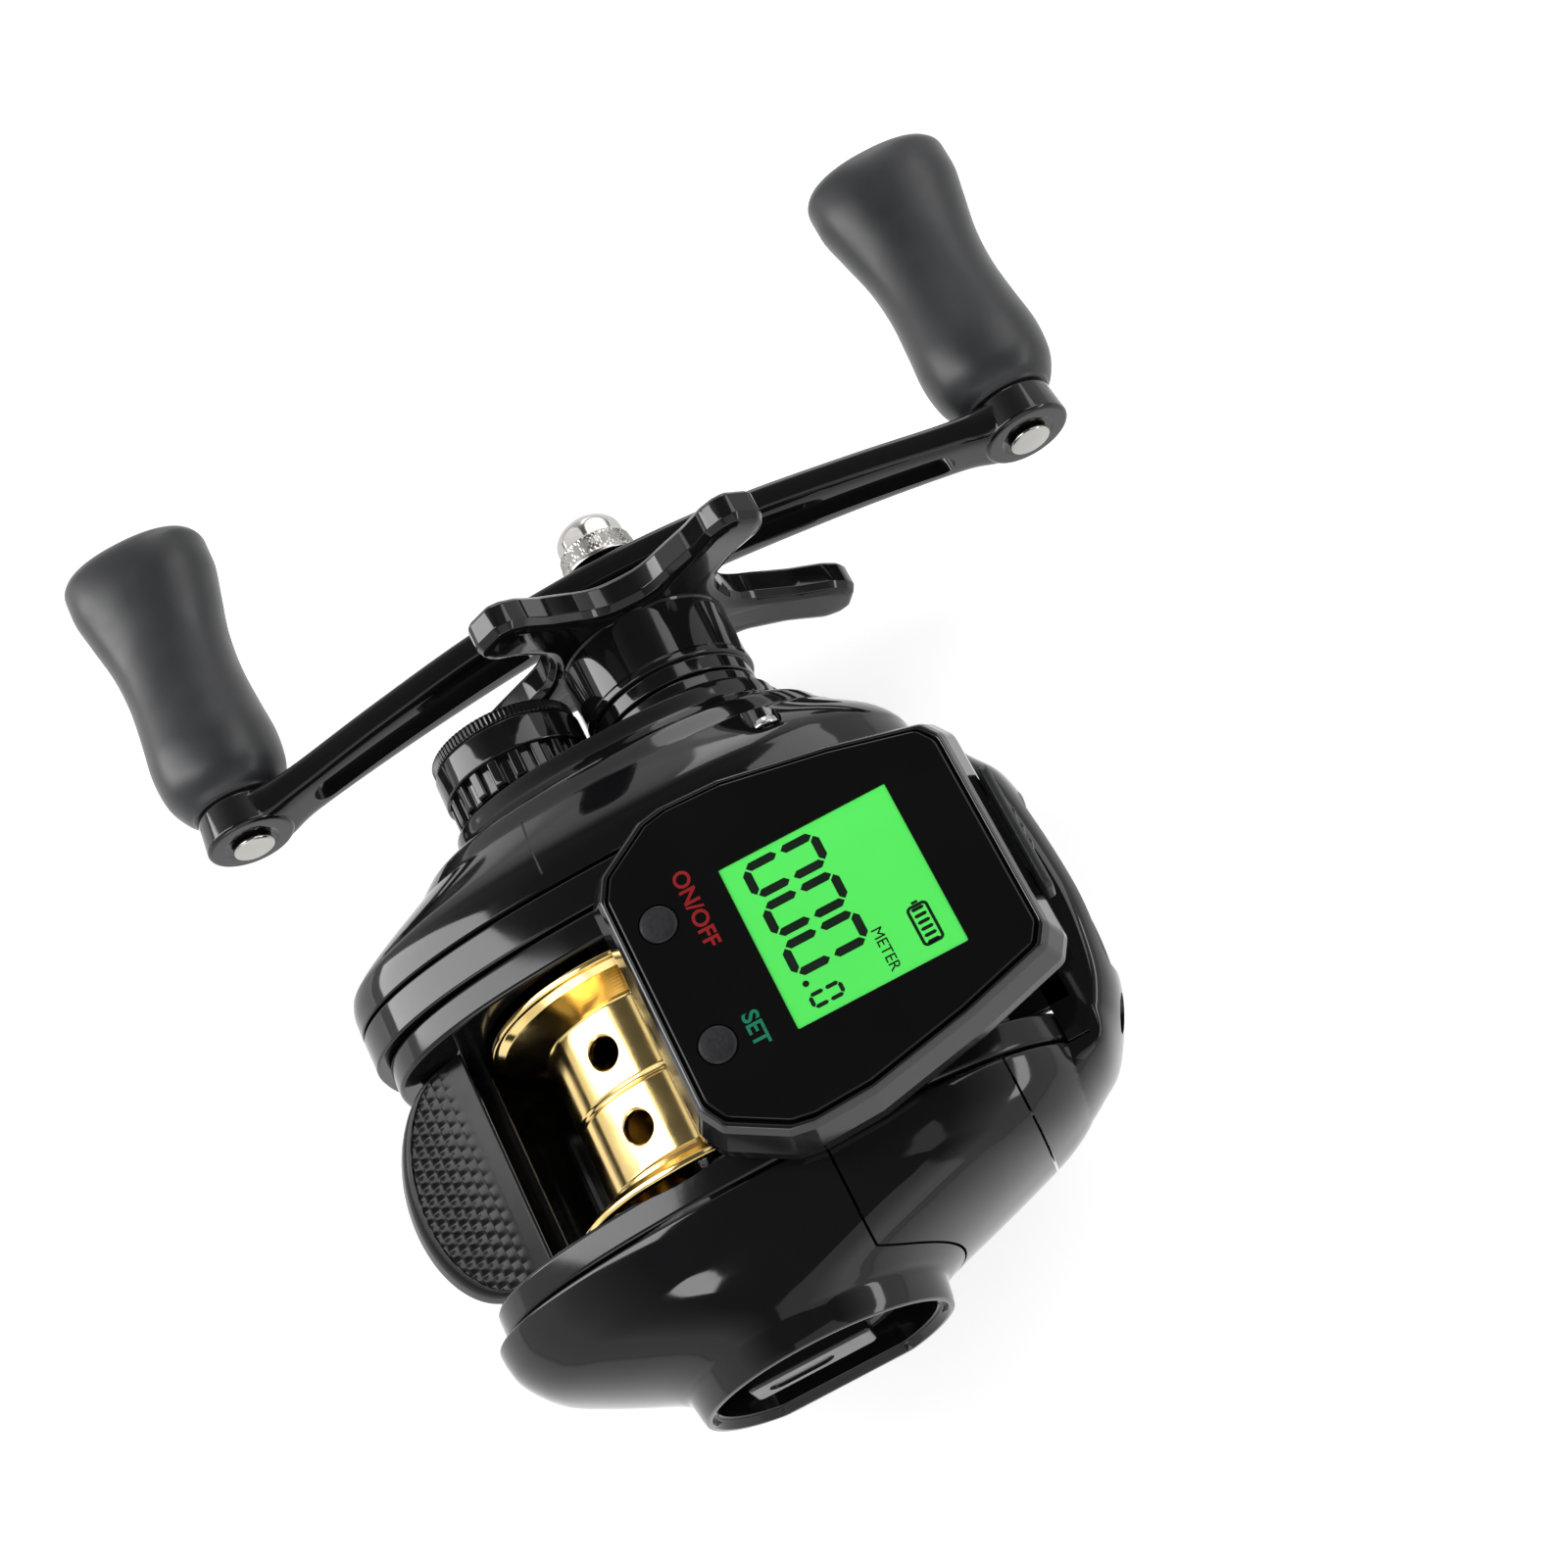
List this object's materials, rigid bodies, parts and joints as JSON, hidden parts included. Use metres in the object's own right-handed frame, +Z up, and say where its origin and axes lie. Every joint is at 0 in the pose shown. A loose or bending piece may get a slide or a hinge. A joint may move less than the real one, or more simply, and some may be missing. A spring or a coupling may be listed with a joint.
{
  "type": "digital baitcasting reel",
  "caption": "Low-profile left-hand baitcasting reel with a digital line counter on top, star drag, double crank handle, level wind and a clutch bar behind the spool.",
  "frame": {"origin": "middle of the reel foot's flat underside", "axes": "+X along the spool axis to the palming side, +Y forward to the line opening, +Z up from the rod"},
  "size_m": [0.1364, 0.1278, 0.0594],
  "materials": {
    "black_body": "satin moulded black",
    "gloss_black": "high gloss piano black",
    "satin_black": "satin black",
    "soft_rubber": "soft matt charcoal",
    "gold": "gold anodised, turned",
    "steel": "plain stainless",
    "bright_nut": "bright plated",
    "brass": "machined",
    "nylon": "natural nylon",
    "drag_felt": "carbon felt",
    "ceramic": "polished ceramic ring",
    "silver_grey": "silver grey",
    "circuit_board": "green board",
    "lcd": "green lit display",
    "window": "black acrylic window",
    "button_grey": "dark grey silicone"
  },
  "bodies": {
    "reel_body": {"reel_foot": "steel", "foot_rivet_front": "steel", "foot_rivet_rear": "steel", "frame": "black_body", "spool_bearing_palm": "steel", "spool_bearing_gear": "steel", "gear_side_plate": "gloss_black", "gear_side_cover": "gloss_black", "gear_screw_top": "steel", "gear_screw_rear": "steel", "gear_screw_low": "steel", "crank_bearing": "steel", "one_way_bearing": "steel", "yoke_spring_upper": "steel", "yoke_spring_lower": "steel", "friction_disc": "drag_felt", "palm_side_cover": "gloss_black", "palm_front_panel": "gloss_black", "dial_number_plate": "silver_grey", "nose_cover": "gloss_black", "nose_screw_gear": "steel", "nose_screw_palm": "steel", "worm_guard": "satin_black", "guide_rod": "steel", "display_housing": "satin_black", "display_tray": "satin_black", "display_screw": "steel", "battery_cell": "silver_grey", "circuit_board": "circuit_board", "lcd_panel": "lcd", "display_glass": "window"},
    "spool_body": {"spool": "gold", "spool_shaft": "steel"},
    "pinion": {"pinion_gear": "brass"},
    "yoke": {"clutch_yoke": "brass"},
    "cam": {"clutch_cam": "brass"},
    "crank": {"crank_shaft": "steel", "drive_gear": "brass", "drag_washer": "drag_felt", "drag_sleeve": "steel", "levelwind_cog": "nylon", "handle_arm": "gloss_black", "handle_nut": "bright_nut", "knob_pin_rear": "bright_nut", "knob_pin_front": "bright_nut"},
    "star": {"star_drag": "gloss_black"},
    "knob_rear": {"handle_knob_rear": "soft_rubber"},
    "knob_front": {"handle_knob_front": "soft_rubber"},
    "cast_cap": {"cast_control_cap": "gloss_black"},
    "dial": {"brake_dial": "satin_black"},
    "magnets": {"magnet_ring": "satin_black"},
    "thumb": {"thumb_bar": "satin_black"},
    "worm": {"worm_shaft": "steel", "worm_gear": "nylon"},
    "guide": {"line_guide": "silver_grey", "guide_ring": "ceramic", "levelwind_pawl": "steel"},
    "power_key": {"power_button": "button_grey"},
    "set_key": {"set_button": "button_grey"},
    "port_flap": {"port_cover": "soft_rubber"}
  },
  "joints": [
    {"name": "crank_turn", "type": "hinge", "parent": "reel_body", "child": "crank", "pos_m": [-0.0252, 0.0116, 0.0203], "axis": [-1, 0, 0], "continuous": true},
    {"name": "spool_turn", "type": "hinge", "parent": "reel_body", "child": "spool_body", "pos_m": [0, -0.009, 0.0235], "axis": [-1, 0, 0], "continuous": true},
    {"name": "yoke_slide", "type": "slide", "parent": "reel_body", "child": "yoke", "axis": [-1, 0, 0], "range_m": [0, 0.001], "deforming": ["yoke_spring_upper", "yoke_spring_lower"]},
    {"name": "pinion_turn", "type": "hinge", "parent": "yoke", "child": "pinion", "pos_m": [-0.0242, -0.009, 0.0235], "axis": [-1, 0, 0], "continuous": true},
    {"name": "cam_turn", "type": "hinge", "parent": "reel_body", "child": "cam", "pos_m": [-0.0285, -0.009, 0.0235], "axis": [-1, 0, 0], "range_deg": [0, 12.5]},
    {"name": "worm_turn", "type": "hinge", "parent": "reel_body", "child": "worm", "pos_m": [-0.0238, 0.0265, 0.0165], "axis": [-1, 0, 0], "continuous": true},
    {"name": "star_turn", "type": "hinge", "parent": "crank", "child": "star", "pos_m": [-0.0433, 0.0116, 0.0203], "axis": [-1, 0, 0], "range_deg": [-180, 180]},
    {"name": "knob_rear_turn", "type": "hinge", "parent": "crank", "child": "knob_rear", "pos_m": [-0.0604, -0.0424, 0.0203], "axis": [-1, 0, 0], "continuous": true},
    {"name": "knob_front_turn", "type": "hinge", "parent": "crank", "child": "knob_front", "pos_m": [-0.0604, 0.0656, 0.0203], "axis": [-1, 0, 0], "continuous": true},
    {"name": "cast_cap_turn", "type": "hinge", "parent": "reel_body", "child": "cast_cap", "pos_m": [-0.0407, -0.009, 0.0235], "axis": [-1, 0, 0], "range_deg": [-180, 180]},
    {"name": "dial_turn", "type": "hinge", "parent": "reel_body", "child": "dial", "pos_m": [0.0305, -0.006, 0.024], "axis": [1, 0, 0], "range_deg": [0, 270]},
    {"name": "magnet_slide", "type": "slide", "parent": "reel_body", "child": "magnets", "axis": [-1, 0, 0], "range_m": [0, 0.00125]},
    {"name": "thumb_press", "type": "slide", "parent": "reel_body", "child": "thumb", "axis": [0, 0, -1], "range_m": [0, 0.004]},
    {"name": "guide_travel", "type": "slide", "parent": "reel_body", "child": "guide", "axis": [1, 0, 0], "range_m": [-0.0095, 0.0095]},
    {"name": "power_press", "type": "slide", "parent": "reel_body", "child": "power_key", "axis": [0, 0, -1], "range_m": [0, 0.0004], "stiffness_N_per_m": 200},
    {"name": "set_press", "type": "slide", "parent": "reel_body", "child": "set_key", "axis": [0, 0, -1], "range_m": [0, 0.0004], "stiffness_N_per_m": 200},
    {"name": "flap_turn", "type": "hinge", "parent": "reel_body", "child": "port_flap", "pos_m": [-0.0013, 0.03885, 0.04285], "axis": [-1, 0, 0], "range_deg": [0, 100]}
  ],
  "couplings": [
    {"joint": "spool_turn", "follows": "crank_turn", "ratio": -5.4167},
    {"joint": "pinion_turn", "follows": "crank_turn", "ratio": -5.4167},
    {"joint": "worm_turn", "follows": "crank_turn", "ratio": -1.8571},
    {"joint": "yoke_slide", "follows": "thumb_press", "ratio": 0.25},
    {"joint": "cam_turn", "follows": "thumb_press", "rad_per_m": 52.36},
    {"joint": "magnet_slide", "follows": "dial_turn", "m_per_rad": 0.00025465}
  ]
}
